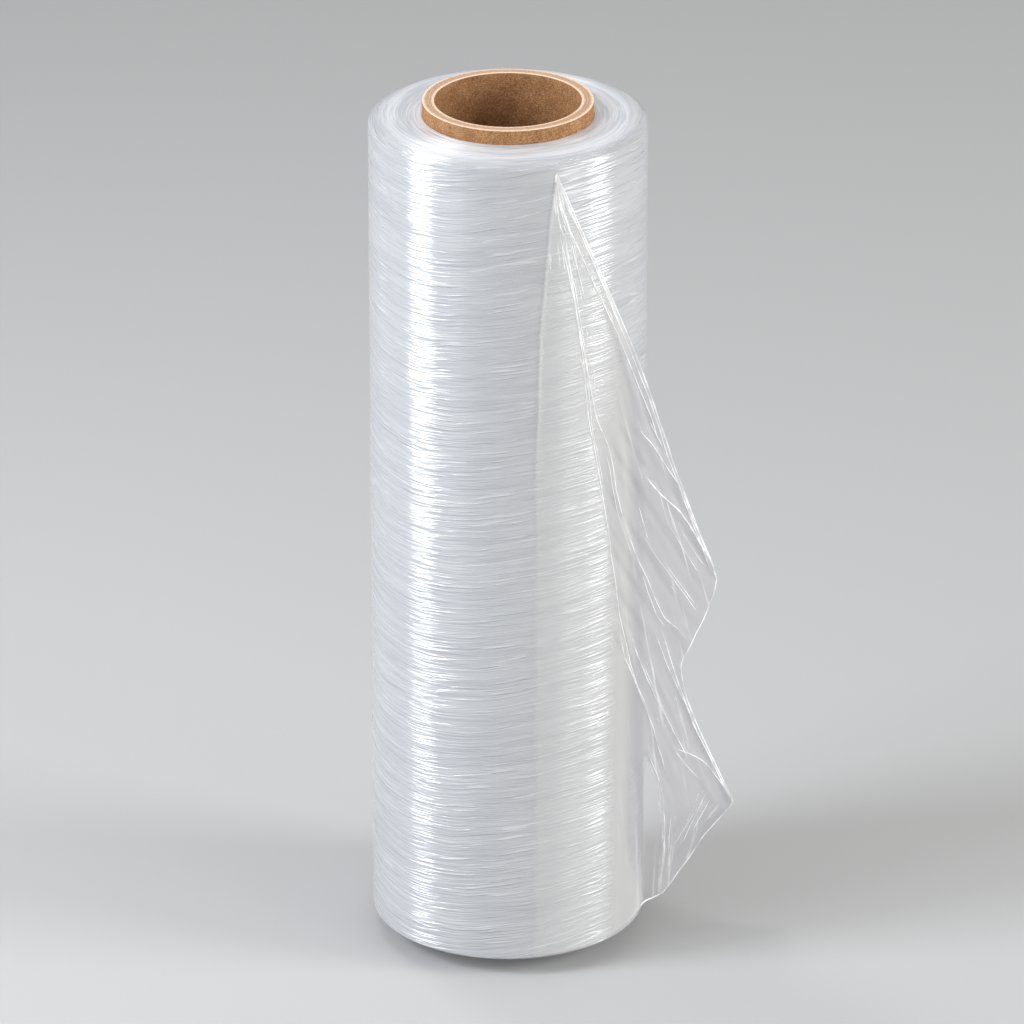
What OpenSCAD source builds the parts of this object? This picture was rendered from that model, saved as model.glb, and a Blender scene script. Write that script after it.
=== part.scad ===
// Stretch wrap roll: clear film wound on a cardboard core, with its loose end
// gathered to a point near the top and hanging off the right of the roll.
// Z runs along the core, the roll stands on the core's lower rim at Z = 0,
// and the front, where the loose end leaves the roll, is -Y.

/* [Core] */
// Bore of the core, the standard 3 inch size
core_bore_d = 76.2; // [60:0.1:90]
// Wall of the core
core_wall = 6.5; // [3:0.5:12]
// How far the core stands out of the film at each end
core_out = 7.5; // [2:0.5:30]
// Easing of the core's cut rims
core_ease = 0.6; // [0.2:0.1:1.2]

/* [Wound film] */
// Width of the film web
film_w = 457; // [400:1:760]
// Diameter of the wound film
film_d = 145.5; // [130:0.5:240]
// Width of the rounded shoulder, where the outer turns run narrower
shoulder_w = 16; // [4:1:18]
// Drop of the rounded shoulder
shoulder_h = 4.5; // [1:0.5:12]
// Turns that stand out as rings on each end face
ring_n = 12; // [4:1:20]
// Height of one of those rings
ring_h = 0.35; // [0.1:0.05:0.8]
// Gauge bands that run round the wall
band_n = 44; // [10:1:60]
// Depth of a gauge band
band_h = 0.2; // [0.05:0.05:0.4]

/* [Loose end] */
// Gap at which the part that clings lies over the wall
cling_gap = 0.3; // [0.25:0.05:0.5]
// Thickness of the sheet, with its small folds and the air caught in them
sheet_t = 0.8; // [0.5:0.1:1.5]
// Angle of the gathered point, round the roll from the front to the right
point_az = 19.6; // [0:0.1:60]
// Depth of the gathered point under the film's upper edge
point_drop = 5.5; // [5:0.5:30]
// How far the sheet's root lies left of the gathered point, along the wall
root_back = 13; // [2:1:30]
// Reach of the upper tip, along the sheet from under the gathered point
upper_reach = 110; // [90:1:130]
// Depth of the upper tip under the gathered point
upper_drop = 261; // [200:1:270]
// Reach of the notch between the two tips
notch_reach = 85; // [60:1:90]
// Depth of the notch under the upper tip
notch_drop = 46; // [20:1:60]
// Reach of the lower tip
lower_reach = 126; // [90:1:135]
// Height of the lower tip over the sheet's foot
lower_rise = 44; // [30:1:50]
// Reach of the sheet's foot
foot_reach = 86; // [60:1:90]
// How much higher the foot's free corner is than its root
foot_lift = 5; // [0:1:15]
// Angle past the gathered point at which the sheet leaves the wall, at the top
lift_top = 2.4; // [0:0.1:10]
// The same angle half way down
lift_mid = 22.4; // [15:0.1:40]
// The same angle at the foot
lift_foot = 36.4; // [20:0.1:50]
// Pleats that run down the sheet from the gathered point
pleat_n = 14; // [6:1:20]
// Depth of the deepest pleats in the free part of the sheet
pleat_h = 2.6; // [0:0.1:3]
// How much deeper the pleats are along the roped upper edge
rope_h = 1.2; // [0:0.1:2]

/* [Hidden] */
// Sides of the round solids in OpenSCAD's own mesh
round_fn = 128;

board_tint = [0.76, 0.6, 0.44];
film_tint = [0.84, 0.87, 0.91];

core_bore_r = core_bore_d / 2;
core_r = core_bore_r + core_wall;
core_len = film_w + 2 * core_out;
film_r = film_d / 2;
rim_low_z = core_out + shoulder_h;
rim_top_z = core_out + film_w - shoulder_h;
shoulder_r = film_r - shoulder_w;
ring_pitch = (film_r - core_r) / ring_n;
// Share of a ring's pitch at which its crest lies
ring_crest = 0.8;
band_pitch = (rim_top_z - rim_low_z) / band_n;
// Turns of angle from one band, or pleat, to the next, so that depths vary
band_turn = 137;
pleat_turn = 71;

point_z = core_out + film_w - point_drop;
// The sheet's foot ends just over the wall's lower rim
foot_gap = 0.5;
foot_drop = point_z - rim_low_z - foot_gap;
lower_drop = foot_drop - lower_rise;
// Depth over which the root swings left, and over which the sheet lifts
root_run = 70;
lift_run = 60;
// Height over the foot in which the lift turns to its angle at the foot
twist_h = 60;
// Run past the lift over which the pleats reach their depth
pleat_run = 25;
// Share of the sheet's width, at its free edge, that the roped edge takes
rope_share = 0.18;
// Depth under the upper tip in which the rope comes undone
rope_fade = 150;
// The pleats next to the deepest ones have this share of their depth
pleat_least = 0.3;
// Depth at which the sheet starts under the gathered point
first_drop = 3;

// The free edge as [reach, drop]: gathered point, upper tip, notch, lower tip, foot
edge_ends = [
    [first_drop * upper_reach / upper_drop, first_drop],
    [upper_reach, upper_drop],
    [notch_reach, upper_drop + notch_drop],
    [lower_reach, lower_drop],
    [foot_reach, foot_drop],
];
// Bow of the edge between those ends, and rows of the sheet that it takes
edge_bow = [0, 3, -4, 5];
edge_rows = [10, 4, 6, 5];

// A smooth step from 0 to 1
function ease(x) = let (t = min(1, max(0, x))) t * t * (3 - 2 * t);

// Height of an end face over its rim, at radius r
function face_rise(r) =
    shoulder_h * sqrt(1 - pow(max(0, r - shoulder_r) / shoulder_w, 2));

// One end face from the core to the wall, as [radius, height over the rim]
function face_points() = [
    for (k = [0:ring_n - 1])
    for (share = [0, ring_crest])
    let (r = core_r + (k + share) * ring_pitch)
    [r, face_rise(r) - (share == 0 ? ring_h : 0)]
];

// The wall from its lower rim to its upper rim, as [radius, Z]
function wall_points() = [
    for (k = [0:band_n])
    [film_r - band_h * (1 + sin(k * band_turn)) / 2, rim_low_z + k * band_pitch]
];

module core() {
    color(board_tint)
        rotate_extrude($fn = round_fn)
            polygon([
                [core_bore_r + core_ease, 0],
                [core_r - core_ease, 0],
                [core_r, core_ease],
                [core_r, core_len - core_ease],
                [core_r - core_ease, core_len],
                [core_bore_r + core_ease, core_len],
                [core_bore_r, core_len - core_ease],
                [core_bore_r, core_ease],
            ]);
}

// The turns: one solid whose end faces and wall show the lay of the film
module film() {
    face = face_points();
    last = len(face) - 1;
    color(film_tint) rotate_extrude($fn = round_fn)
        polygon(concat(
            [for (p = face) [p[0], rim_low_z - p[1]]],
            wall_points(),
            [for (k = [last:-1:0]) [face[k][0], rim_top_z + face[k][1]]]
        ));
}

// A point between two ends of the edge, bowed out by sag half way
function bowed(a, b, t, sag) = a + (b - a) * t + [4 * sag * t * (1 - t), 0];

free_edge = concat(
    [
        for (s = [0:3])
        for (k = [0:edge_rows[s] - 1])
        bowed(edge_ends[s], edge_ends[s + 1], k / edge_rows[s], edge_bow[s])
    ],
    [edge_ends[4]]
);

// Where the sheet starts on the wall, left of the gathered point
function root_reach(drop) = -root_back * (1 - exp(-drop / root_run));

// Angle round the roll at which the sheet comes off the wall
function lift_az(drop) =
    point_az
    + lift_top
    + (lift_mid - lift_top) * (1 - exp(-drop / lift_run))
    + (lift_foot - lift_mid) * ease((drop - foot_drop + twist_h) / twist_h);

// A point of the sheet: up to the lift it lies on the wall, and past it on the
// tangent. Out is its height over the wall, and fold the depth of its pleat.
function sheet_at(reach, drop, out, fold) =
    let (
        az = point_az + reach / film_r * 180 / PI,
        turn = min(az, lift_az(drop)),
        past = (az - turn) * PI / 180 * film_r,
        r = film_r + out + fold * ease(past / pleat_run)
    )
    [
        r * sin(turn) + past * cos(turn),
        past * sin(turn) - r * cos(turn),
        point_z - drop,
    ];

rows = len(free_edge);
cols = 2 * pleat_n + 1;

// Depth of the pleat in column c, up on odd columns and down on even ones
function fold_at(c, drop) =
    let (
        side = c % 2 == 0 ? -1 : 1,
        varied = pleat_least + (1 - pleat_least) * abs(sin(c * pleat_turn)),
        roped = ease((c / (cols - 1) - 1) / rope_share + 1)
            * ease(1 - (drop - upper_drop) / rope_fade)
    )
    side * (pleat_h * varied + rope_h * roped);

// One side of the sheet, row by row down from the gathered point
function sheet_side(out) = [
    for (p = free_edge)
    for (c = [0:cols - 1])
    let (
        share = c / (cols - 1),
        drop = p[1] - foot_lift * share * share * ease(p[1] / foot_drop),
        root = root_reach(drop)
    )
    sheet_at(root + (p[0] - root) * share, drop, out, fold_at(c, drop))
];

// The quad a, b, c, d as two triangles
function quad(a, b, c, d) = [[a, b, c], [a, c, d]];

// The loose end: a thin sheet closed at its edges
module loose_end() {
    back = rows * cols;
    right = cols - 1;
    foot = (rows - 1) * cols;
    color(film_tint) polyhedron(
        points = concat(sheet_side(cling_gap + sheet_t), sheet_side(cling_gap)),
        faces = concat(
            [for (r = [0:rows - 2], c = [0:cols - 2], i = [r * cols + c])
                each quad(i, i + 1, i + cols + 1, i + cols)],
            [for (r = [0:rows - 2], c = [0:cols - 2], i = [back + r * cols + c])
                each quad(i, i + cols, i + cols + 1, i + 1)],
            [for (c = [0:cols - 2])
                each quad(c + 1, c, c + back, c + 1 + back)],
            [for (c = [0:cols - 2], i = [foot + c])
                each quad(i, i + 1, i + 1 + back, i + back)],
            [for (r = [0:rows - 2], i = [r * cols])
                each quad(i, i + cols, i + cols + back, i + back)],
            [for (r = [0:rows - 2], i = [r * cols + right])
                each quad(i + cols, i, i + back, i + cols + back)]
        )
    );
}

core();
film();
loose_end();
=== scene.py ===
# Stretch wrap roll: clear film wound on a board core, and its gathered loose end.
# Metres, Z up along the core, the front of the roll is -Y.
import math

import bpy
import numpy as np
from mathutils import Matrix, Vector


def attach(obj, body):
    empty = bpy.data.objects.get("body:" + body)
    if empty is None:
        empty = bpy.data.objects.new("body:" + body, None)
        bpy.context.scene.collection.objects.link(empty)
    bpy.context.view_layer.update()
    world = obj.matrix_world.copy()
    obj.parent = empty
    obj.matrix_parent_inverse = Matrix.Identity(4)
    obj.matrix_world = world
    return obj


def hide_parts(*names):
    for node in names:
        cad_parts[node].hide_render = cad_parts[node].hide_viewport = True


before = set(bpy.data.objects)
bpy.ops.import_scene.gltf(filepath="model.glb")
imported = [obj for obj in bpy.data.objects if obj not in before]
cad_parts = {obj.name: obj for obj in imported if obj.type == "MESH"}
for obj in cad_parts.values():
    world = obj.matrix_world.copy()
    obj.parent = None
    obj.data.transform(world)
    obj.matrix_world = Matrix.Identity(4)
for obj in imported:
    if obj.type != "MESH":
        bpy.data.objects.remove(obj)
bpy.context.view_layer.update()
print("frame loaded:", ", ".join(sorted(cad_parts)))

millimetre = 0.001


def deselect():
    if bpy.context.object and bpy.context.object.mode != "OBJECT":
        bpy.ops.object.mode_set(mode="OBJECT")
    bpy.ops.object.select_all(action="DESELECT")


def takeUp(piece):
    deselect()
    piece.select_set(True)
    bpy.context.view_layer.objects.active = piece


def put(tree, kind, inputs=None, **settings):
    node = tree.nodes.new(kind)
    for name, value in settings.items():
        setattr(node, name, value)
    for name, value in (inputs or {}).items():
        if isinstance(value, bpy.types.NodeSocket):
            tree.links.new(value, node.inputs[name])
        else:
            node.inputs[name].default_value = value
    return node


def startMaterial(name):
    material = bpy.data.materials.new(name)
    material.use_nodes = True
    tree = material.node_tree
    tree.nodes.clear()
    shader = put(tree, "ShaderNodeBsdfPrincipled")
    out = put(tree, "ShaderNodeOutputMaterial")
    tree.links.new(shader.outputs["BSDF"], out.inputs["Surface"])
    return material, tree, shader


def startGroup(name, ins, outs):
    group = bpy.data.node_groups.new(name, "ShaderNodeTree")
    for label, value in ins.items():
        socket = group.interface.new_socket(
            label, in_out="INPUT", socket_type="NodeSocketFloat"
        )
        socket.default_value = value
    for label in outs:
        group.interface.new_socket(
            label, in_out="OUTPUT", socket_type="NodeSocketFloat"
        )
    return group, put(group, "NodeGroupInput"), put(group, "NodeGroupOutput")


def math2(tree, operation, a, b=0.0, c=0.0, clamp=False):
    node = put(tree, "ShaderNodeMath", {0: a, 1: b, 2: c}, operation=operation)
    node.use_clamp = clamp
    return node.outputs[0]


def colourMix(tree, share, a, b, blend="MIX"):
    node = put(tree, "ShaderNodeMix", data_type="RGBA", blend_type=blend)
    for index, value in ((0, share), (6, a), (7, b)):
        if isinstance(value, bpy.types.NodeSocket):
            tree.links.new(value, node.inputs[index])
        else:
            node.inputs[index].default_value = value
    return node.outputs[2]


def ramp(tree, value, low, high):
    node = put(
        tree,
        "ShaderNodeMapRange",
        {"Value": value, "From Min": low, "From Max": high},
        interpolation_type="SMOOTHSTEP",
    )
    return node.outputs[0]


def finishPiece(piece, material, slotName, *nodes):
    piece.data.materials.clear()
    piece.data.materials.append(material)
    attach(piece, "root")
    if nodes:
        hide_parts(*nodes)
    print("piece:", piece.name, len(piece.data.polygons), "faces")


view = {
    "lens": 299.6,
    "distance": 4.4986,
    "pitch": 24.13,  # degrees down
    "aimHeight": 0.236,
    "aside": 0.00209,  # the frame's centre lies this far right of the roll's axis
    "above": 0.00229,  # and this far over the aim, square to the view
    "sensor": 36,
    "farthest": 60,
}


def placeCamera():
    pitch = math.radians(view["pitch"])
    ahead = Vector((0, math.cos(pitch), -math.sin(pitch)))
    up = Vector((0, math.sin(pitch), math.cos(pitch)))
    place = Vector((view["aside"], 0, view["aimHeight"])) + up * view["above"]
    place -= ahead * view["distance"]
    bpy.ops.object.camera_add(
        location=place, rotation=(math.pi / 2 - pitch, 0, 0)
    )
    camera = bpy.context.object
    camera.data.lens = view["lens"]
    camera.data.sensor_width = view["sensor"]
    camera.data.clip_end = view["farthest"]
    bpy.context.scene.camera = camera


placeCamera()
print("camera placed")

# How the lines of the wound turns change over the roll, by radius
turning = {
    "straying": (40.0, 40.0, 28.0),  # how quickly the lines stray, by axis
    "wall": (0.064, 0.0722),  # outwards, where they come to lean and stray
    "face": (0.0718, 0.061),  # inwards, where the end face's finish comes in
}


def makeTurnLines():
    # Lines that run round the roll: round the wall by height, and round an
    # end face by radius, with no break at the shoulder
    group, given, out = startGroup(
        "turnLines",
        {"Around": 3.0, "Across": 600.0, "Detail": 3.0, "Warp": 2.5, "Lean": 0.16},
        ["Lines", "Face"],
    )
    place = put(group, "ShaderNodeTexCoord").outputs["Object"]
    xyz = put(group, "ShaderNodeSeparateXYZ", {0: place})
    flat = put(group, "ShaderNodeCombineXYZ", {0: xyz.outputs[0], 1: xyz.outputs[1]})
    radius = put(
        group, "ShaderNodeVectorMath", {0: flat.outputs[0]}, operation="LENGTH"
    ).outputs["Value"]
    unit = put(
        group, "ShaderNodeVectorMath", {0: flat.outputs[0]}, operation="NORMALIZE"
    )
    turned = put(
        group,
        "ShaderNodeVectorMath",
        {0: unit.outputs[0], 3: given.outputs["Around"]},
        operation="SCALE",
    )
    parts = put(group, "ShaderNodeSeparateXYZ", {0: turned.outputs[0]})
    slow = put(
        group,
        "ShaderNodeTexNoise",
        {
            "Vector": put(
                group,
                "ShaderNodeVectorMath",
                {0: place, 1: turning["straying"]},
                operation="MULTIPLY",
            ).outputs[0],
            "Scale": 1.0,
            "Detail": 1.0,
        },
    ).outputs[0]
    # On the wall the lines lean, most at the front, and wander by a few millimetres
    onWall = ramp(group, radius, *turning["wall"])
    lean = math2(group, "MULTIPLY", xyz.outputs[0], parts.outputs[1])
    lean = math2(group, "DIVIDE", lean, given.outputs["Around"])
    lean = math2(group, "MULTIPLY", lean, given.outputs["Lean"])
    wander = math2(group, "MULTIPLY", math2(group, "SUBTRACT", slow, 0.5), millimetre)
    wander = math2(group, "MULTIPLY", wander, given.outputs["Warp"])
    wander = math2(group, "MULTIPLY", math2(group, "ADD", wander, lean), onWall)
    run = math2(group, "SUBTRACT", xyz.outputs[2], radius)
    run = math2(group, "ADD", run, wander)
    run = math2(group, "MULTIPLY", run, given.outputs["Across"])
    spot = put(
        group,
        "ShaderNodeCombineXYZ",
        {0: parts.outputs[0], 1: parts.outputs[1], 2: run},
    )
    noise = put(
        group,
        "ShaderNodeTexNoise",
        {
            "Vector": spot.outputs[0],
            "Scale": 1.0,
            "Detail": given.outputs["Detail"],
            "Roughness": 0.6,
        },
    )
    group.links.new(noise.outputs[0], out.inputs["Lines"])
    onFace = ramp(group, radius, *turning["face"])
    group.links.new(onFace, out.inputs["Face"])
    return group


turnLines = makeTurnLines()


def useGroup(tree, group, **values):
    node = put(tree, "ShaderNodeGroup", node_tree=group)
    for name, value in values.items():
        if isinstance(value, bpy.types.NodeSocket):
            tree.links.new(value, node.inputs[name])
        else:
            node.inputs[name].default_value = value
    return node


filmLook = {
    "tone": (0.49, 0.497, 0.515, 1),
    "toneLight": (0.54, 0.547, 0.56, 1),
    # The hairs' tone is a painted highlight along the wall's bright streaks
    "toneHairHighlight": (0.92, 0.92, 0.93, 1),
    "toneFace": (0.81, 0.828, 0.86, 1),
    # The darker ring tone is painted shade along the end face's ring lines
    "toneRingShade": (0.65, 0.675, 0.72, 1),
    "metallic": 0.3,
    "roughness": 0.2,
    "bump": 0.0005,
    "anisotropy": 0.9,
    "anisotropyTurn": 0.25,
    "coat": 0.2,
    "coatRoughness": 0.15,
    "fine": {"Around": 3.6, "Across": 1500.0, "Detail": 1.0},
    "ridge": {"Around": 2.6, "Across": 820.0, "Detail": 1.5},
    "broad": {"Around": 1.2, "Across": 210.0, "Detail": 2.0},
    "hairs": {"Around": 3.4, "Across": 880.0, "Detail": 0.0, "Warp": 2.5, "Lean": 0.17},
    "heights": {"ridge": 0.42, "fine": 0.28, "hairs": 0.42, "broad": 0.7},
    "hairHighlightShare": 0.25,  # of the hairs' tone on the wall
    "faceShare": 0.9,  # of the end face's own tone there
    "faceRoughness": 0.15,  # more than on the wall
    "faceHeight": -0.6,  # change of the lines' height there
}


def makeFilm():
    look = filmLook
    material, tree, shader = startMaterial("woundFilm")
    fine = useGroup(tree, turnLines, **look["fine"]).outputs[0]
    turns = useGroup(tree, turnLines, **look["ridge"])
    ridge, onFace = turns.outputs[0], turns.outputs[1]
    broad = useGroup(tree, turnLines, **look["broad"]).outputs[0]
    hairs = useGroup(tree, turnLines, **look["hairs"]).outputs[0]
    hairs = ramp(tree, hairs, 0.62, 0.76)
    tone = colourMix(
        tree, ramp(tree, broad, 0.35, 0.65), look["tone"], look["toneLight"]
    )
    # Painted highlight: the hair lines on the wall are lightened toward the hairs' tone
    hairHighlightShare = math2(tree, "MULTIPLY", hairs, look["hairHighlightShare"])
    tone = colourMix(tree, hairHighlightShare, tone, look["toneHairHighlight"])
    mixed = math2(tree, "MULTIPLY_ADD", broad, 1.2, math2(tree, "MULTIPLY", ridge, 0.8))
    rings = ramp(tree, mixed, 0.86, 1.14)
    # Painted shade: the ring lines on the end face are darkened toward the darker ring tone
    faceTone = colourMix(tree, rings, look["toneRingShade"], look["toneFace"])
    faceShare = math2(tree, "MULTIPLY", onFace, look["faceShare"])
    tone = colourMix(tree, faceShare, tone, faceTone)
    rough = math2(tree, "MULTIPLY_ADD", onFace, look["faceRoughness"], look["roughness"])
    heights = look["heights"]
    height = math2(tree, "MULTIPLY", ramp(tree, ridge, 0.32, 0.68), heights["ridge"])
    for lines, name in ((fine, "fine"), (hairs, "hairs"), (broad, "broad")):
        height = math2(tree, "MULTIPLY_ADD", lines, heights[name], height)
    quiet = math2(tree, "MULTIPLY_ADD", onFace, look["faceHeight"], 1.0)
    height = math2(tree, "MULTIPLY", height, quiet)
    bump = put(
        tree,
        "ShaderNodeBump",
        {"Strength": 1.0, "Distance": look["bump"], "Height": height},
    )
    tangent = put(tree, "ShaderNodeTangent", direction_type="RADIAL", axis="Z")
    for name, value in {
        "Base Color": tone,
        "Roughness": rough,
        "Normal": bump.outputs[0],
        "Tangent": tangent.outputs[0],
    }.items():
        tree.links.new(value, shader.inputs[name])
    shader.inputs["Metallic"].default_value = look["metallic"]
    shader.inputs["Anisotropic"].default_value = look["anisotropy"]
    shader.inputs["Anisotropic Rotation"].default_value = look["anisotropyTurn"]
    shader.inputs["Coat Weight"].default_value = look["coat"]
    shader.inputs["Coat Roughness"].default_value = look["coatRoughness"]
    return material


boardLook = {
    "dark": (0.17, 0.075, 0.026, 1),
    "plain": (0.30, 0.150, 0.064, 1),
    "light": (0.46, 0.262, 0.134, 1),
    "cut": (0.60, 0.40, 0.275, 1),
    # The palest tone is frayed wear together with a painted highlight along the cut face's
    # rims
    "wornAndHighlight": (0.86, 0.67, 0.51, 1),
    "pulpScale": 1150.0,
    "cloudScale": 130.0,
    "wallMiddle": 0.04135,  # radius half way through the core's wall
    "fray": 0.0022,  # how far the pulp breaks up the worn edges
    "wornAndHighlightFrom": (0.0023, 0.0036),  # distance from the wall's middle
    "plyPitch": 0.0016,
    "bump": 0.0003,
    "roughness": 0.85,
    "specular": 0.25,
}


def makeBoard():
    look = boardLook
    material, tree, shader = startMaterial("kraftBoard")
    place = put(tree, "ShaderNodeTexCoord").outputs["Object"]
    squeezed = put(
        tree, "ShaderNodeMapping", {"Vector": place, "Scale": (1.0, 1.0, 1.6)}
    ).outputs[0]
    pulp = put(
        tree,
        "ShaderNodeTexNoise",
        {
            "Vector": squeezed,
            "Scale": look["pulpScale"],
            "Detail": 2.0,
            "Roughness": 0.7,
        },
    ).outputs[0]
    cloud = put(
        tree,
        "ShaderNodeTexNoise",
        {
            "Vector": place,
            "Scale": look["cloudScale"],
            "Detail": 3.0,
            "Roughness": 0.6,
        },
    ).outputs[0]
    normal = put(tree, "ShaderNodeNewGeometry").outputs["Normal"]
    faceUp = put(tree, "ShaderNodeSeparateXYZ", {0: normal}).outputs[2]
    cut = ramp(tree, math2(tree, "ABSOLUTE", faceUp), 0.5, 0.95)
    xyz = put(tree, "ShaderNodeSeparateXYZ", {0: place})
    flat = put(tree, "ShaderNodeCombineXYZ", {0: xyz.outputs[0], 1: xyz.outputs[1]})
    radius = put(
        tree, "ShaderNodeVectorMath", {0: flat.outputs[0]}, operation="LENGTH"
    ).outputs["Value"]
    # Pale edges of the cut face, partly frayed wear and partly a painted highlight on its
    # eased rims, and the plies between them
    fromMiddle = math2(tree, "SUBTRACT", radius, look["wallMiddle"])
    fromMiddle = math2(tree, "ABSOLUTE", fromMiddle)
    frayed = math2(tree, "MULTIPLY_ADD", pulp, look["fray"], fromMiddle)
    wornAndHighlight = ramp(tree, frayed, *look["wornAndHighlightFrom"])
    plies = math2(tree, "MULTIPLY", radius, 2 * math.pi / look["plyPitch"])
    plies = math2(tree, "SINE", plies)
    grain = math2(tree, "MULTIPLY_ADD", cloud, 0.35, math2(tree, "MULTIPLY", pulp, 1.15))
    tone = colourMix(tree, ramp(tree, grain, 0.54, 0.78), look["dark"], look["plain"])
    tone = colourMix(tree, ramp(tree, grain, 0.74, 0.98), tone, look["light"])
    face = colourMix(
        tree, math2(tree, "MULTIPLY_ADD", plies, 0.12, 0.3), look["cut"], tone
    )
    face = colourMix(tree, math2(tree, "MULTIPLY", wornAndHighlight, 0.85), face, look["wornAndHighlight"])
    tone = colourMix(tree, cut, tone, face)
    bump = put(
        tree,
        "ShaderNodeBump",
        {"Strength": 1.0, "Distance": look["bump"], "Height": grain},
    )
    tree.links.new(tone, shader.inputs["Base Color"])
    tree.links.new(bump.outputs[0], shader.inputs["Normal"])
    shader.inputs["Roughness"].default_value = look["roughness"]
    shader.inputs["Specular IOR Level"].default_value = look["specular"]
    return material


sheetLook = {
    "tone": (0.46, 0.458, 0.475, 1),
    "toneLight": (0.8, 0.8, 0.81, 1),
    "clingTone": (0.79, 0.786, 0.77, 1),
    "lineScale": (330.0, 10.0, 1.0),
    "lineShare": 0.12,  # how much milkier the fine lines are
    "bump": 0.0002,
    "roughness": 0.3,
    "coat": 0.3,
    "coatRoughness": 0.15,
}


def makeSheet():
    look = sheetLook
    material, tree, shader = startMaterial("looseFilm")
    haze = put(tree, "ShaderNodeAttribute", attribute_name="haze").outputs["Fac"]
    free = put(tree, "ShaderNodeAttribute", attribute_name="free").outputs["Fac"]
    lay = put(tree, "ShaderNodeUVMap", uv_map="developed").outputs[0]
    wide = put(
        tree, "ShaderNodeMapping", {"Vector": lay, "Scale": look["lineScale"]}
    ).outputs[0]
    lines = put(
        tree,
        "ShaderNodeTexNoise",
        {"Vector": wide, "Scale": 1.0, "Detail": 3.0, "Roughness": 0.6},
    ).outputs[0]
    crease = math2(tree, "MULTIPLY", ramp(tree, lines, 0.58, 0.74), free)
    alpha = math2(tree, "MULTIPLY_ADD", crease, look["lineShare"], haze, clamp=True)
    tone = colourMix(tree, free, look["clingTone"], look["tone"])
    tone = colourMix(tree, crease, tone, look["toneLight"])
    bump = put(
        tree,
        "ShaderNodeBump",
        {"Strength": 1.0, "Distance": look["bump"], "Height": lines},
    )
    tree.links.new(tone, shader.inputs["Base Color"])
    tree.links.new(alpha, shader.inputs["Alpha"])
    tree.links.new(bump.outputs[0], shader.inputs["Normal"])
    shader.inputs["Roughness"].default_value = look["roughness"]
    shader.inputs["Coat Weight"].default_value = look["coat"]
    shader.inputs["Coat Roughness"].default_value = look["coatRoughness"]
    return material


creaseLook = {
    "tone": (0.82, 0.82, 0.83, 1),
    "toneLight": (0.96, 0.96, 0.96, 1),
    "patchScale": 90.0,
    "alpha": 0.55,  # where the fold is faintest
    "alphaMore": 0.45,
    "roughness": 0.35,
    "coat": 0.6,
    "coatRoughness": 0.25,
}


def makeCrease():
    look = creaseLook
    material, tree, shader = startMaterial("creasedFilm")
    place = put(tree, "ShaderNodeTexCoord").outputs["Object"]
    noise = put(
        tree,
        "ShaderNodeTexNoise",
        {"Vector": place, "Scale": look["patchScale"], "Detail": 1.0},
    ).outputs[0]
    tone = colourMix(
        tree, ramp(tree, noise, 0.35, 0.65), look["tone"], look["toneLight"]
    )
    patches = ramp(tree, noise, 0.35, 0.6)
    alpha = math2(tree, "MULTIPLY_ADD", patches, look["alphaMore"], look["alpha"])
    tree.links.new(tone, shader.inputs["Base Color"])
    tree.links.new(alpha, shader.inputs["Alpha"])
    shader.inputs["Roughness"].default_value = look["roughness"]
    shader.inputs["Coat Weight"].default_value = look["coat"]
    shader.inputs["Coat Roughness"].default_value = look["coatRoughness"]
    return material


filmFinish, boardFinish = makeFilm(), makeBoard()
sheetFinish, creaseFinish = makeSheet(), makeCrease()
print("materials made")


def turn(name, outline, steps):
    # A closed outline of (radius, height) points, extruded point by point and spun
    deselect()
    start = outline[0]
    bpy.ops.mesh.primitive_plane_add(size=0.002, location=(start[0], 0, start[1]))
    piece = bpy.context.object
    piece.name = piece.data.name = name
    bpy.ops.object.mode_set(mode="EDIT")
    bpy.ops.mesh.select_all(action="SELECT")
    bpy.ops.mesh.merge(type="CENTER")
    here = start
    for point in outline[1:] + [start]:
        step = (point[0] - here[0], 0, point[1] - here[1])
        bpy.ops.mesh.extrude_region_move(TRANSFORM_OT_translate={"value": step})
        here = point
    bpy.ops.mesh.select_all(action="SELECT")
    bpy.ops.mesh.remove_doubles(threshold=1e-6)
    bpy.ops.mesh.spin(
        steps=steps, angle=2 * math.pi, center=(0, 0, 0), axis=(0, 0, 1)
    )
    bpy.ops.mesh.select_all(action="SELECT")
    bpy.ops.mesh.remove_doubles(threshold=1e-6)
    bpy.ops.mesh.normals_make_consistent(inside=False)
    bpy.ops.object.mode_set(mode="OBJECT")
    takeUp(piece)
    bpy.ops.object.transform_apply(location=True, rotation=True, scale=True)
    bpy.ops.object.shade_smooth_by_angle(angle=math.radians(40))
    return piece


core = {
    "bore": 0.0381,
    "outside": 0.0446,
    "length": 0.472,
    "ease": 0.0006,
    "plies": 5,
    "plyGroove": 0.00012,  # depth of the line between two plies
    "plyGrooveHalf": 0.00025,  # half of its width
    "cornerShare": 0.3,  # of the ease, half way round each eased corner
    "rows": 8,
    "steps": 160,
}


def coreOutline():
    face = []
    half = core["plyGrooveHalf"]
    width = core["outside"] - core["bore"] - 2 * core["ease"]
    for ply in range(core["plies"] + 1):
        radius = core["bore"] + core["ease"] + width * ply / core["plies"]
        if 0 < ply < core["plies"]:
            face += [(radius - half, 0), (radius, core["plyGroove"]), (radius + half, 0)]
        else:
            face.append((radius, 0))
    corner = core["cornerShare"] * core["ease"]
    low = [(core["bore"] + corner, corner)] + face + [(core["outside"] - corner, corner)]
    low = [(core["bore"], core["ease"])] + low + [(core["outside"], core["ease"])]
    top = [(r, core["length"] - z) for r, z in reversed(low)]
    rows = core["rows"]
    middle = [core["length"] * k / rows for k in range(1, rows)]
    outer = [(core["outside"], z) for z in middle]
    inner = [(core["bore"], z) for z in reversed(middle)]
    return low + outer + top + inner


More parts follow.
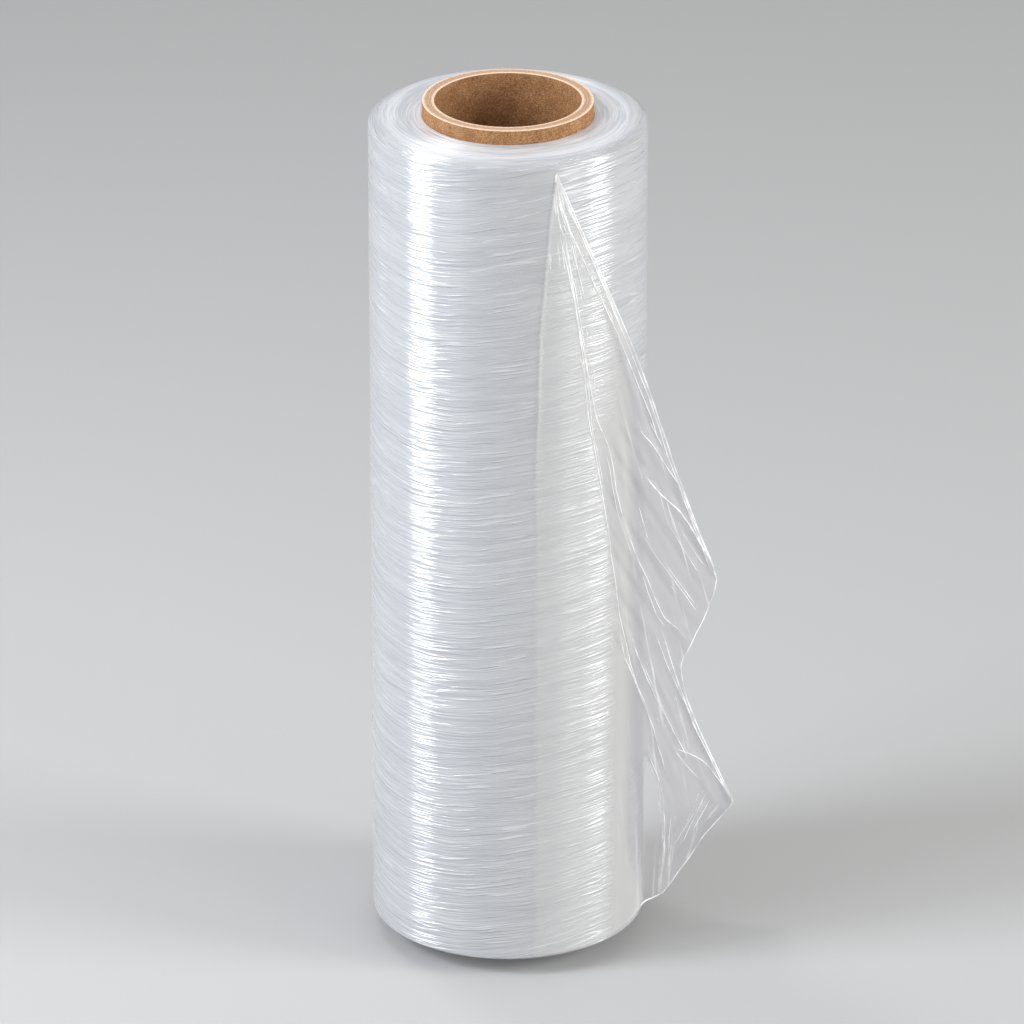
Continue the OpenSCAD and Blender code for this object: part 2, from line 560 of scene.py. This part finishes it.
corePiece = turn("board_core", coreOutline(), core["steps"])
finishPiece(corePiece, boardFinish, "kraft_board", "core")

roll = {
    "inside": 0.04465,
    "radius": 0.07275,
    "rimLow": 0.012,
    "rimTop": 0.460,
    "shoulderWidth": 0.016,
    "shoulderDrop": 0.0045,
    "rings": 34,
    "lastRings": (0.985, 0.996),  # shares of the way from the core to the wall
    "ringHeight": 0.000064,
    "bands": 236,
    "bandDepth": 0.00018,
    "steps": 224,
    "seed": 11,
}


def faceRise(radius):
    past = max(0.0, radius - (roll["radius"] - roll["shoulderWidth"]))
    past = min(1.0, past / roll["shoulderWidth"])
    return roll["shoulderDrop"] * math.sqrt(1 - past * past)


def rollOutline():
    rng = np.random.RandomState(roll["seed"])
    count, width = roll["rings"], roll["radius"] - roll["inside"]
    faces = []
    for _ in range(2):
        face = []
        for k in range(count):
            radius = roll["inside"] + width * (k / count)
            step = rng.uniform(-1, 1) * (roll["ringHeight"] if k else 0)
            face.append((radius, faceRise(radius) + step))
        for share in roll["lastRings"]:
            radius = roll["inside"] + width * share
            face.append((radius, faceRise(radius)))
        faces.append(face)
    span = roll["rimTop"] - roll["rimLow"]
    wall = [
        (
            roll["radius"] - rng.uniform(0, 1) * roll["bandDepth"],
            roll["rimLow"] + span * k / roll["bands"],
        )
        for k in range(roll["bands"] + 1)
    ]
    low = [(r, roll["rimLow"] - z) for r, z in faces[0]]
    top = [(r, roll["rimTop"] + z) for r, z in reversed(faces[1])]
    return low + wall + top


rollPiece = turn("wound_film", rollOutline(), roll["steps"])

lay = {
    "around": 0.16,
    "across": 0.010,
    "grain": 0.25,
    "octaves": 2,
    "depth": 0.0004,
    "middle": 0.85,  # the noise at which a turn keeps its place
}


def layTurns(piece):
    # Each turn lies a little further in or out than the next, and that changes
    # slowly round the roll
    deselect()
    bpy.ops.object.empty_add(location=(0, 0, 0))
    guide = bpy.context.object
    guide.scale = (lay["around"], lay["around"], lay["across"])
    texture = bpy.data.textures.new("turnLay", "CLOUDS")
    texture.noise_scale = lay["grain"]
    texture.noise_depth = lay["octaves"]
    takeUp(piece)
    bpy.context.view_layer.update()
    push = piece.modifiers.new("lay", "DISPLACE")
    push.texture = texture
    push.texture_coords = "OBJECT"
    push.texture_coords_object = guide
    push.strength = lay["depth"]
    push.mid_level = lay["middle"]
    bpy.ops.object.modifier_apply(modifier="lay")
    bpy.data.objects.remove(guide)


layTurns(rollPiece)
finishPiece(rollPiece, filmFinish, "clear_film", "film")

end = {
    "radius": roll["radius"],
    "pointAz": 19.6,  # degrees round the roll, from the front to the right
    "pointHeight": 0.459,
    "rootBack": 13.0,  # the rest of these are millimetres on the flat sheet
    "rootRun": 70.0,
    "footDrop": 446.5,
    "footLift": 5.0,
    "liftTop": 2.4,
    "liftMid": 22.4,
    "liftFoot": 36.4,
    "liftRun": 60.0,
    "twistHeight": 60.0,
    "gap": 0.3,
    "thickness": 0.25,
    "firstDrop": 0.2,
    "veilShare": 0.55,  # of the free film's finish, where it stands off the wall
    "smoothShare": 0.35,
    "fanWidth": 0.25,
    "rows": 290,
    "columns": 120,
}

# The cut edge on the flat sheet, as (reach, drop) under the gathered point
cutEdge = [
    (0.7, 0.2), (1.5, 3.0), (2.6, 6.3), (9.0, 21.7), (13.8, 33.1), (22.4, 52.2), (31.6, 72.3),
    (39.8, 89.6), (49.7, 111.4), (59.6, 134.7), (67.4, 155.0), (77.7, 180.9),
    (88.2, 206.9), (99.3, 233.6), (108.8, 254.6), (111.4, 259.6), (109.6, 265.7),
    (103.9, 276.9), (98.4, 284.5), (92.0, 292.9), (87.2, 298.5), (85.4, 303.0),
    (86.6, 310.5), (90.5, 324.3), (96.6, 338.5), (102.9, 351.8), (108.6, 363.5),
    (116.4, 378.5), (122.4, 390.5), (126.4, 396.6), (125.8, 398.6), (119.6, 405.6),
    (113.0, 414.0), (108.4, 423.7), (101.3, 432.6), (92.5, 437.6), (86.4, 441.5),
]
hem = [
    (91, 438), (86.4, 441.3), (83, 440.8), (79, 440.3), (75, 439.8), (71, 439.1),
    (68, 438.6), (65.5, 439.3), (63, 441),
]
# How much higher the sheet's foot is than at its root, by share of its width
footRise = [
    (0, 0), (0.5, 0), (0.63, 1.0), (0.70, 2.2), (0.75, 4.2), (0.79, 7.2),
    (0.82, 8.0), (0.885, 6.7), (0.966, 5.7), (1, 5),
]


def ease(x):
    t = np.clip(x, 0.0, 1.0)
    return t * t * (3 - 2 * t)


def rootReach(drop):
    return -end["rootBack"] * (1 - np.exp(-np.maximum(drop, 0) / end["rootRun"]))


def liftAngle(drop):
    low = (drop - end["footDrop"] + end["twistHeight"]) / end["twistHeight"]
    return (
        end["pointAz"]
        + end["liftTop"]
        + (end["liftMid"] - end["liftTop"])
        * (1 - np.exp(-np.maximum(drop, 0) / end["liftRun"]))
        + (end["liftFoot"] - end["liftMid"]) * ease(low)
    )


def edgeReach(drop):
    reach, drops = np.array(cutEdge).T
    return np.interp(drop, drops, reach)


def onSheet(reach, drop, out):
    # Millimetres on the flat sheet to the place of that point in the room
    radius = end["radius"] * 1000
    angle = end["pointAz"] + np.degrees(reach / radius)
    turned = np.minimum(angle, liftAngle(drop))
    past = np.radians(angle - turned) * radius
    t = np.radians(turned)
    r = radius + out
    return np.stack(
        [
            (r * np.sin(t) + past * np.cos(t)) * millimetre,
            (past * np.sin(t) - r * np.cos(t)) * millimetre,
            end["pointHeight"] - drop * millimetre,
        ],
        axis=-1,
    )


def pastLift(reach, drop):
    angle = end["pointAz"] + np.degrees(reach / (end["radius"] * 1000))
    return np.radians(np.maximum(0, angle - liftAngle(drop))) * end["radius"] * 1000


# Creases on the flat sheet: width and height of the fold, then its course
creases = {
    "ropeInner": (1.3, 0.9, [
        (1.6, 5.5), (8.2, 23), (17.2, 43.5), (28.6, 70), (40.2, 96), (49.4, 116),
        (60.4, 141), (74, 177), (86, 207), (97.6, 234), (106.5, 254),
    ]),
    "ropeThird": (1.2, 0.8, [
        (0.4, 5.9), (3, 19.5), (7.9, 33.6), (14, 47.2), (21.5, 64.2), (30.5, 83),
        (37.5, 97), (44.7, 113), (53.5, 133), (61.6, 151), (68, 168),
    ]),
    "knot": (1.4, 0.8, [(0.0, 0.6), (0.3, 3.2), (-0.2, 6.0)]),
    "tuftLeft": (0.5, 0.4, [(-0.4, 7), (0.4, 16), (2, 29), (4.9, 37)]),
    "tuftRight": (0.5, 0.4, [(1.4, 6), (3.4, 12), (4.6, 22), (7.4, 31)]),
    "short": (0.6, 0.4, [(3.1, 38), (5, 55)]),
    "left": (1.0, 0.8, [
        (2.4, 36), (6.5, 53.4), (8, 61.3), (11, 75.2), (13.1, 90.1), (16.3, 110),
        (17.9, 129.9), (20.4, 147.5), (22.4, 154.8), (25.2, 169.2), (28, 182.5),
        (30.9, 198.2), (33.1, 210.3), (35.3, 224.7), (38.3, 241.7), (41.2, 259.9),
        (45.7, 277.5), (49.3, 290.3), (53.8, 304.5), (58.9, 314.3), (62.3, 324.7),
        (65.9, 332.9), (68.9, 343.3), (73, 354.1), (75.3, 363.7),
    ]),
    "leftTwin": (0.7, 0.4, [
        (4.6, 38), (8.4, 56), (11, 66), (14.6, 88), (18, 109), (19.7, 129),
        (21.7, 147.9), (23.7, 155.2), (27.2, 170.9), (30.1, 184.3),
    ]),
    "leftLow": (0.7, 0.4, [(41, 270), (45, 284.3), (50.8, 297.7), (56, 309.9), (60.4, 320.6)]),
    "gapEdge": (0.8, 0.5, [
        (61.6, 343.3), (63.6, 349.8), (66.1, 355.4), (69, 361), (71.7, 369),
        (73.6, 376.7), (74.2, 385.2), (76.7, 403.5), (80.5, 418), (82, 425),
    ]),
    "right": (1.1, 0.9, [
        (5.2, 36), (9, 61.4), (12, 81.2), (15.7, 100.3), (19.6, 120.5), (24.2, 142),
        (27.8, 149.5), (32.7, 160), (35.8, 172.3), (37.8, 186.5), (41.4, 199),
        (47.9, 217), (53, 230), (60.3, 243.8), (66.2, 257.1), (73.5, 271),
        (82.3, 279.5), (89.6, 288.8),
    ]),
    "rightTwin": (0.7, 0.4, [
        (30, 160), (33.6, 172.3), (35.9, 186.5), (39.6, 200), (46, 218), (51, 231),
    ]),
    "rightTop": (0.8, 0.6, [(8, 37), (11.9, 54.4), (14, 62.4), (16.9, 74)]),
    "fallOne": (1.3, 0.9, [
        (53, 154), (56.2, 159.9), (61.9, 166.1), (67.7, 174.6), (75, 185.9),
        (80.8, 194.5), (85.2, 201.6), (91.6, 218), (100.6, 235.6), (108.4, 252.3),
    ]),
    "fallTwo": (0.8, 0.5, [(60.4, 152.5), (66, 163), (71, 172)]),
    "fallThree": (1.9, 1.2, [
        (57, 182), (60.2, 186.8), (66.7, 195), (73.9, 202.8), (82.6, 211.2),
        (89.9, 221.5), (97.3, 234.1), (104.8, 245.6), (108, 251.5),
    ]),
    "fallFour": (1.0, 0.5, [
        (57, 217), (61.5, 224.5), (67.3, 234.3), (74.6, 243.5), (81.9, 253.8),
        (90.7, 265.8), (98.1, 276.3),
    ]),
    "fallFourTwin": (0.7, 0.3, [(70.2, 235.2), (78.9, 247.1), (87.7, 259.1), (96.6, 271.1)]),
    "fallFive": (0.7, 0.3, [(82.7, 219.3), (90.1, 231.9), (99, 245.1), (104.9, 252.7)]),
    "fallSix": (0.8, 0.4, [(72.7, 212.8), (81.5, 227), (90.3, 241.3), (99.2, 254.4)]),
    "fallSeven": (0.7, 0.3, [(54, 199), (57, 208.2), (61.5, 223.3)]),
    "fallEight": (0.8, 0.4, [(56, 238), (61.4, 252.6), (67.8, 268), (75, 277)]),
    "lowOne": (1.1, 0.7, [
        (49, 272), (52.9, 283.2), (61.7, 303.5), (69.8, 320.1), (75.7, 330.2),
        (81.6, 341.5), (86, 348.8), (92.3, 361.5),
    ]),
    "lowOneTwin": (0.7, 0.5, [(57.2, 290.4), (64.6, 306.7), (72.7, 323.3), (78.6, 337)]),
    "lowTwo": (1.2, 0.8, [
        (70.7, 274.8), (77.4, 294.4), (82.6, 308.9), (88.6, 323.7), (94.7, 339.8),
        (103.7, 356.8), (109.7, 368.3), (118.8, 386.7), (124.2, 394),
    ]),
    "lowTwoTwin": (0.8, 0.5, [
        (66.4, 277), (75.3, 298.4), (84.2, 316.4), (91.6, 330.5), (97.7, 345.4),
        (106.7, 362.5), (115.7, 379.7), (124.1, 393.5),
    ]),
    "lowThree": (1.1, 0.8, [
        (81.7, 349.8), (90.5, 355), (97.9, 360.3), (102.3, 363.5), (107.5, 369.9),
        (114.2, 379.3), (122.2, 391.6),
    ]),
    "lowThreeTwin": (0.7, 0.4, [(81, 350.1), (86.1, 357.1), (92.1, 364.9), (101, 375)]),
    "footOne": (0.8, 0.4, [
        (106.2, 382.6), (101.3, 389.4), (96.9, 398), (94.5, 405.1), (92.6, 412.4),
    ]),
    "footTwo": (0.8, 0.4, [(108.6, 388.8), (102.8, 397.6), (99.1, 406.9)]),
    "footThree": (0.7, 0.4, [(97.9, 391.9), (92.7, 399.1), (88.4, 405.4), (85.6, 410.9)]),
    "footFour": (0.7, 0.3, [(79.2, 386.9), (79.5, 396.8), (81.9, 409.4), (85.4, 422)]),
    "footFive": (0.7, 0.3, [(116.5, 392.8), (112.1, 398.4), (107.9, 403.6)]),
}


def toCourse(reach, drop, course):
    # Distance from each point to a crease
    best = np.full(np.shape(reach), 1e6)
    for (ax, ay), (bx, by) in zip(course[:-1], course[1:]):
        dx, dy = bx - ax, by - ay
        t = np.clip(
            ((reach - ax) * dx + (drop - ay) * dy) / (dx * dx + dy * dy), 0, 1
        )
        away = np.hypot(reach - ax - t * dx, drop - ay - t * dy)
        best = np.minimum(best, away)
    return best


def across(reach, drop, degrees):
    # How far a point lies to the side of a line at that angle from the vertical
    t = math.radians(degrees)
    return reach * math.cos(t) - drop * math.sin(t)


def waves(x, seed, lengths, heights):
    rng = np.random.RandomState(seed)
    total = 0
    for length, height in zip(lengths, heights):
        total = total + height * np.sin(
            2 * math.pi * x / length + rng.uniform(0, 2 * math.pi)
        )
    return total


# Where each change over the sheet starts, and the run over which it comes in, in
# millimetres of reach, of drop, past the lift or beside a crease
regions = {
    "free": (0, 12),
    "deep": (0, 25),
    "offWall": (8, 20),
    "fall": (130, 40),
    "low": (270, 30),
    "kink": (0, 8),
    "footReach": (78, 5),
    "gapDrop": (326, 20),  # from here down the gap's edge bounds the smooth film
    "smoothReach": (29, 13),
    "smoothDrop": (215, 70),
    "smoothEdge": (0, 1.5),
    "veilEdge": (0, 3),
    "veilDrop": (90, 90),
    "veilPast": (10, 30),
    "milky": (8, 26),
    "beyond": (70.5, 3),  # to the right of the roll's axis
    "opened": (341, 16),
    "rootWave": (0, 60),
    "rootFade": (110, 140),
}

# The fold that runs to the lower tip, under which the foot's folds lie
kinkLine = {"reach": 75, "drop": 365, "slope": 0.59}


def rise(x, region):
    start, run = regions[region]
    return ease((x - start) / run)


def leftCrease(drop):
    reach, drops = np.array(creases["left"][2]).T
    return np.interp(drop, drops, reach)


def zones(reach, drop):
    past = pastLift(reach, drop)
    free = rise(past, "free")
    kink = (drop - kinkLine["drop"]) - (reach - kinkLine["reach"]) * kinkLine["slope"]
    foot = free * rise(kink, "kink") * rise(reach, "footReach")
    gapReach, gapDrop = np.array(creases["gapEdge"][2]).T
    byGap = rise(drop, "gapDrop")
    border = np.interp(drop, gapDrop, gapReach) * byGap
    border = border + leftCrease(drop) * (1 - byGap)
    smooth = rise(reach, "smoothReach") * rise(drop, "smoothDrop")
    smooth = smooth * rise(border - reach, "smoothEdge")
    low = free * rise(drop, "low") * (1 - foot) * (1 - smooth)
    fall = free * rise(drop, "fall") * (1 - rise(drop, "low"))
    return {
        "past": past,
        "free": free,
        "smooth": smooth,
        "fall": fall,
        "low": low,
        "foot": foot,
    }


def veilAt(reach, drop, past):
    # The film stands off the wall between the left crease and the roll's side
    veil = rise(reach - leftCrease(drop), "veilEdge") * rise(drop, "veilDrop")
    return veil * (1 - rise(past, "veilPast"))


# Small folds: random seed, angle from the vertical, lengths and heights
folds = {
    "fall": (5, 33, (5.2, 8.3, 14), (0.07, 0.13, 0.2)),
    "low": (6, 26, (4.6, 7.9, 13), (0.07, 0.12, 0.2)),
    "foot": (8, -26, (3.6, 6.1, 10), (0.06, 0.14, 0.2)),
}
# Folds that fan out from the gathered point, their lengths in degrees
fanFolds = {
    "seed": 3,
    "height": 0.15,
    "lengths": (2.1, 3.7, 6.1),
    "heights": (0.5, 0.8, 0.9),
}


def foldHeight(reach, drop):
    zone = zones(reach, drop)
    fan = np.degrees(np.arctan2(reach, np.maximum(drop, 1)))
    total = fanFolds["height"] * rise(zone["past"], "deep") * (1 - zone["smooth"])
    total = total * waves(fan, fanFolds["seed"], fanFolds["lengths"], fanFolds["heights"])
    for name, (seed, degrees, lengths, heights) in folds.items():
        small = waves(across(reach, drop, degrees), seed, lengths, heights)
        total = total + zone[name] * small
    for width, height, course in creases.values():
        away = toCourse(reach, drop, course)
        ridge = np.exp(-((away / (width * 1.5)) ** 2))
        total = total + 0.4 * height * zone["free"] * ridge
    return total


# How milky the film is, from 0, clear, to 1, and what each part of it adds
milk = {
    "cling": 0.16,
    "free": 0.40,
    "veil": 0.26,
    "smooth": 0.20,
    "opened": -0.29,
    "crease": 0.10,
    "edge": 0.25,
    "root": 0.14,
    "point": 0.3,
    "most": 0.95,
}


def hazeAt(reach, drop):
    zone = zones(reach, drop)
    smooth = zone["smooth"]
    # Low down the film all but vanishes between the roll's side and the folds
    beyond = rise(onSheet(reach, drop, 0)[..., 0] / millimetre, "beyond")
    opened = smooth * rise(drop, "opened")
    freeShare = rise(zone["past"], "milky") * (1 - 0.5 * smooth - 0.5 * opened)
    total = milk["cling"] + milk["free"] * freeShare
    total = total + milk["veil"] * veilAt(reach, drop, zone["past"]) * (1 - smooth)
    total = total + milk["smooth"] * smooth + milk["opened"] * beyond * opened
    for width, height, course in creases.values():
        away = toCourse(reach, drop, course)
        ridge = height * (0.4 + 0.6 * zone["free"]) * np.exp(-((away / (width * 1.8)) ** 2))
        total = total + milk["crease"] * ridge
    fromEdge = edgeReach(drop) - reach
    total = total + milk["edge"] * np.exp(-np.maximum(fromEdge, 0) / 1.5)
    # The root shows as a pale line near the top, and fades out lower down
    fromRoot = reach - rootReach(drop)
    stray = 0.4 + waves(drop, 9, (31, 74), (0.1, 0.3))
    fromRoot = fromRoot - rise(drop, "rootWave") * stray
    faded = rise(drop, "rootFade")
    rootLine = (1 - 0.8 * faded) * np.exp(-(((fromRoot - 1.6) / 1.2) ** 2))
    total = total + milk["root"] * rootLine
    total = total + milk["point"] * np.exp(-np.maximum(drop, 0) / 12)
    total = total * (0.12 + 0.88 * ease(fromRoot / (2.0 + 3.0 * faded)))
    return np.clip(total, 0, milk["most"])


def sheetGrid():
    # Level is the drop of a row before the foot's free corner is raised
    level = np.linspace(end["firstDrop"], end["footDrop"], end["rows"])[:, None]
    share = np.linspace(0, 1, end["columns"])[None, :]
    nearFoot = ease(level / end["footDrop"])
    shares, rises = np.array(footRise).T
    drop = level - nearFoot * np.interp(share, shares, rises)
    root = rootReach(drop)
    reach = root + (edgeReach(level - end["footLift"] * nearFoot) - root) * share
    return reach, drop


def makeSheetPiece():
    reach, drop = sheetGrid()
    out = end["gap"] + foldHeight(reach, drop)
    points = onSheet(reach, drop, out).reshape(-1, 3)
    rows, columns = reach.shape
    index = np.arange(rows * columns).reshape(rows, columns)
    quads = np.stack(
        [index[:-1, :-1], index[1:, :-1], index[1:, 1:], index[:-1, 1:]], axis=-1
    ).reshape(-1, 4)
    mesh = bpy.data.meshes.new("loose_film")
    mesh.from_pydata(points.tolist(), [], quads.tolist())
    haze = mesh.attributes.new("haze", "FLOAT", "POINT")
    haze.data.foreach_set("value", hazeAt(reach, drop).ravel().astype(np.float32))
    free = mesh.attributes.new("free", "FLOAT", "POINT")
    zone = zones(reach, drop)
    veil = end["veilShare"] * veilAt(reach, drop, zone["past"])
    off = np.maximum(veil, end["smoothShare"] * zone["smooth"])
    off = np.maximum(rise(zone["past"], "offWall"), off)
    free.data.foreach_set("value", off.ravel().astype(np.float32))
    uv = mesh.uv_layers.new(name="developed")
    fan = np.arctan2(reach, np.maximum(drop, 1)) * end["fanWidth"]
    length = np.hypot(reach, drop) * millimetre
    flat = np.stack([fan, length], axis=-1).reshape(-1, 2)
    corners = np.zeros(len(mesh.loops), np.int32)
    mesh.loops.foreach_get("vertex_index", corners)
    uv.data.foreach_set("uv", flat[corners].ravel().astype(np.float32))
    mesh.update()
    piece = bpy.data.objects.new("loose_film", mesh)
    bpy.context.scene.collection.objects.link(piece)
    takeUp(piece)
    bpy.ops.object.shade_smooth()
    wall = piece.modifiers.new("wall", "SOLIDIFY")
    wall.thickness = end["thickness"] * millimetre
    wall.offset = 0
    bpy.ops.object.modifier_apply(modifier="wall")
    return piece


sheetPiece = makeSheetPiece()


def resample(course, step):
    points = np.array(course, float)
    lengths = np.concatenate([[0], np.cumsum(np.hypot(*np.diff(points, axis=0).T))])
    count = max(4, int(lengths[-1] / step))
    along = np.linspace(0, lengths[-1], count + 1)
    return np.stack([np.interp(along, lengths, points[:, k]) for k in (0, 1)], axis=-1)


# Beads in millimetres: a crease's sizes as shares of its fold, and the cut edge's
# and the hem's own width, height and step
bead = {
    "tips": 0.1,  # least share of the size, at the ends
    "taper": (0.2, 14),  # share of the length that tapers, and the most
    "soften": 2,
    "creaseWidth": 0.7,
    "creaseHeight": 0.35,
    "hairHeight": 0.4,
    "hairStep": 2.5,
    "edge": (1.0, 0.5, 1.4),
    "hem": (1.1, 0.4, 1.6),
}


def addBead(course, width, height, points, quads, step=2.0, under=0.5):
    # One fold: a thin closed bead that lies on the sheet and tapers at its ends
    line = resample(course, step)
    for _ in range(bead["soften"]):
        line[1:-1] = (line[:-2] + 2 * line[1:-1] + line[2:]) / 4
    ahead = np.gradient(line, axis=0)
    ahead /= np.maximum(np.hypot(*ahead.T)[:, None], 1e-9)
    side = np.stack([ahead[:, 1], -ahead[:, 0]], axis=-1)
    length = step * (len(line) - 1)
    along = np.linspace(0, length, len(line))
    share, most = bead["taper"]
    taper = np.minimum(along, length - along) / min(share * length, most)
    size = np.clip(np.sin(0.5 * math.pi * np.clip(taper, 0, 1)), bead["tips"], 1)
    base = end["gap"] + foldHeight(line[:, 0], line[:, 1])
    rings = []
    for beside, up in ((-0.5, 0.0), (0.0, 1.0), (0.5, 0.0), (0.0, -under)):
        spot = line + side * (beside * width * size)[:, None]
        rings.append(onSheet(spot[:, 0], spot[:, 1], base + up * height * size))
    ring = np.stack(rings, axis=1)
    first = len(points)
    points.extend(ring.reshape(-1, 3).tolist())
    count = len(line)
    for k in range(count - 1):
        for j in range(4):
            a, b = first + 4 * k + j, first + 4 * k + (j + 1) % 4
            quads.append((a, b, b + 4, a + 4))
    last = first + 4 * (count - 1)
    quads.append((first + 3, first + 2, first + 1, first))
    quads.append((last, last + 1, last + 2, last + 3))


# Hairline creases beside the main ones: how many, and how far to either side
hair = {
    "seed": 21,
    "width": (0.16, 0.38),
    "length": (4, 17),
    "turned": 0.09,
    "bunching": 0.5,  # share of the spread within which most of them lie
    "fromEdge": 0.6,
    "lowest": 438,
    "shortest": 3,
    "beside": {
        "ropeInner": (44, 2.6), "ropeThird": (30, 3.0), "left": (30, 3.2),
        "leftLow": (10, 3.0), "right": (26, 3.0), "rightTop": (6, 3.0),
        "tuftLeft": (4, 1.6), "tuftRight": (5, 1.8), "short": (8, 8.0),
        "fallOne": (24, 5.0), "fallThree": (24, 7.0), "fallFour": (22, 8.0),
        "fallSix": (18, 7.0), "fallSeven": (10, 4.0), "fallEight": (14, 5.0),
        "lowOne": (64, 9.0), "lowTwo": (50, 6.0), "lowThree": (26, 6.0),
        "footOne": (36, 9.0), "footTwo": (28, 8.0), "footThree": (36, 9.0),
        "footFour": (26, 7.0), "footFive": (18, 7.0), "gapEdge": (12, 2.0),
    },
}


def hairLines():
    rng = np.random.RandomState(hair["seed"])
    made = []
    for name, (count, spread) in hair["beside"].items():
        line = resample(creases[name][2], 1.0)
        ahead = np.gradient(line, axis=0)
        ahead /= np.maximum(np.hypot(*ahead.T)[:, None], 1e-9)
        side = np.stack([ahead[:, 1], -ahead[:, 0]], axis=-1)
        for _ in range(count):
            length = int(min(rng.uniform(*hair["length"]), len(line) - 2))
            first = rng.randint(0, len(line) - length)
            away = rng.normal(0, hair["bunching"]) * spread
            turned = rng.uniform(-1, 1) * hair["turned"]
            run = np.arange(length + 1) - length / 2
            part = slice(first, first + length + 1)
            course = line[part] + side[part] * (away + turned * run)[:, None]
            width = rng.uniform(*hair["width"])
            inside = course[:, 0] < edgeReach(course[:, 1]) - hair["fromEdge"]
            above = course[:, 1] < hair["lowest"]
            if length > hair["shortest"] and inside.all() and above.all():
                made.append((course, width))
    print("hairline creases:", len(made))
    return made


def makeCreasePiece():
    points, quads = [], []
    for course, (width, height, step) in ((cutEdge, bead["edge"]), (hem, bead["hem"])):
        addBead(course, width, height, points, quads, step=step, under=1.0)
    for width, _, course in creases.values():
        wide, high = width * bead["creaseWidth"], width * bead["creaseHeight"]
        addBead(course, wide, high, points, quads)
    for course, width in hairLines():
        high = width * bead["hairHeight"]
        addBead(course, width, high, points, quads, step=bead["hairStep"])
    mesh = bpy.data.meshes.new("film_creases")
    mesh.from_pydata(points, [], quads)
    mesh.update()
    piece = bpy.data.objects.new("film_creases", mesh)
    bpy.context.scene.collection.objects.link(piece)
    takeUp(piece)
    bpy.ops.object.mode_set(mode="EDIT")
    bpy.ops.mesh.select_all(action="SELECT")
    bpy.ops.mesh.normals_make_consistent(inside=False)
    bpy.ops.object.mode_set(mode="OBJECT")
    bpy.ops.object.shade_smooth()
    piece.visible_shadow = False  # folds this fine let the light through
    return piece


creasePiece = makeCreasePiece()
finishPiece(sheetPiece, sheetFinish, "clear_film", "loose_end")
finishPiece(creasePiece, creaseFinish, "clear_film")

stage = {
    "floorSize": 24.0,
    "floorTone": (0.46, 0.46, 0.46, 1),
    "floorRoughness": 0.9,
    "floorSpecular": 0.1,
    "lampAim": (0, 0, 0.45),  # where the boxes above the roll point
    "worldTone": (1.0, 1.0, 1.0, 1),
    "worldStrength": 0.52,
}

# Softboxes: side of the roll in degrees, width, low and high edge, distance,
# radiance and tint
boxes = {
    "keyLeft": (-73, 0.52, 0.02, 1.7, 1.6, 10.5, (0.90, 0.94, 1.0)),
    "keyRight": (76, 1.12, 0.22, 2.3, 3.2, 14.0, (1.0, 0.995, 0.98)),
    "fillLeft": (-46, 0.60, 0.02, 1.9, 1.7, 0.9, (0.90, 0.94, 1.0)),
    "fillRight": (50, 0.60, 0.02, 1.4, 1.7, 2.7, (1.0, 0.995, 0.98)),
}
# Boxes above the roll: place, size, radiance, whether they show in gloss, and tint
tops = {
    "topSoft": ((-1.5, -0.7, 1.7), 0.85, 8.0, False, (0.93, 0.96, 1.0)),
    "shoulderGlow": ((-0.54, 0.72, 1.64), 0.34, 13.0, True, (1.0, 1.0, 1.0)),
}


def makeStage():
    deselect()
    bpy.ops.mesh.primitive_plane_add(size=stage["floorSize"], location=(0, 0, 0))
    floor = bpy.context.object
    floor.name = "floor"
    material, _, shader = startMaterial("floorPaint")
    shader.inputs["Base Color"].default_value = stage["floorTone"]
    shader.inputs["Roughness"].default_value = stage["floorRoughness"]
    shader.inputs["Specular IOR Level"].default_value = stage["floorSpecular"]
    floor.data.materials.append(material)
    world = bpy.context.scene.world or bpy.data.worlds.new("studio")
    bpy.context.scene.world = world
    world.use_nodes = True
    back = world.node_tree.nodes["Background"]
    back.inputs[0].default_value = stage["worldTone"]
    back.inputs[1].default_value = stage["worldStrength"]
    for name, (side, width, low, high, away, radiance, tint) in boxes.items():
        t = math.radians(side)
        place = Vector((math.sin(t) * away, -math.cos(t) * away, (low + high) / 2))
        bpy.ops.object.light_add(type="AREA", location=place)
        lamp = bpy.context.object
        lamp.name = name
        lamp.rotation_euler = (math.pi / 2, 0, t)
        lamp.data.shape = "RECTANGLE"
        lamp.data.size = width
        lamp.data.size_y = high - low
        lamp.data.energy = radiance * math.pi * width * (high - low)
        lamp.data.color = tint
    for name, (place, size, radiance, inGloss, tint) in tops.items():
        bpy.ops.object.light_add(type="AREA", location=place)
        lamp = bpy.context.object
        lamp.name = name
        toward = Vector(stage["lampAim"]) - Vector(place)
        lamp.rotation_euler = toward.to_track_quat("-Z", "Y").to_euler()
        lamp.data.size = size
        lamp.data.energy = radiance * math.pi * size**2
        lamp.data.color = tint
        lamp.visible_glossy = inGloss


makeStage()
bpy.context.scene.view_settings.view_transform = "Standard"
print("stage lit")
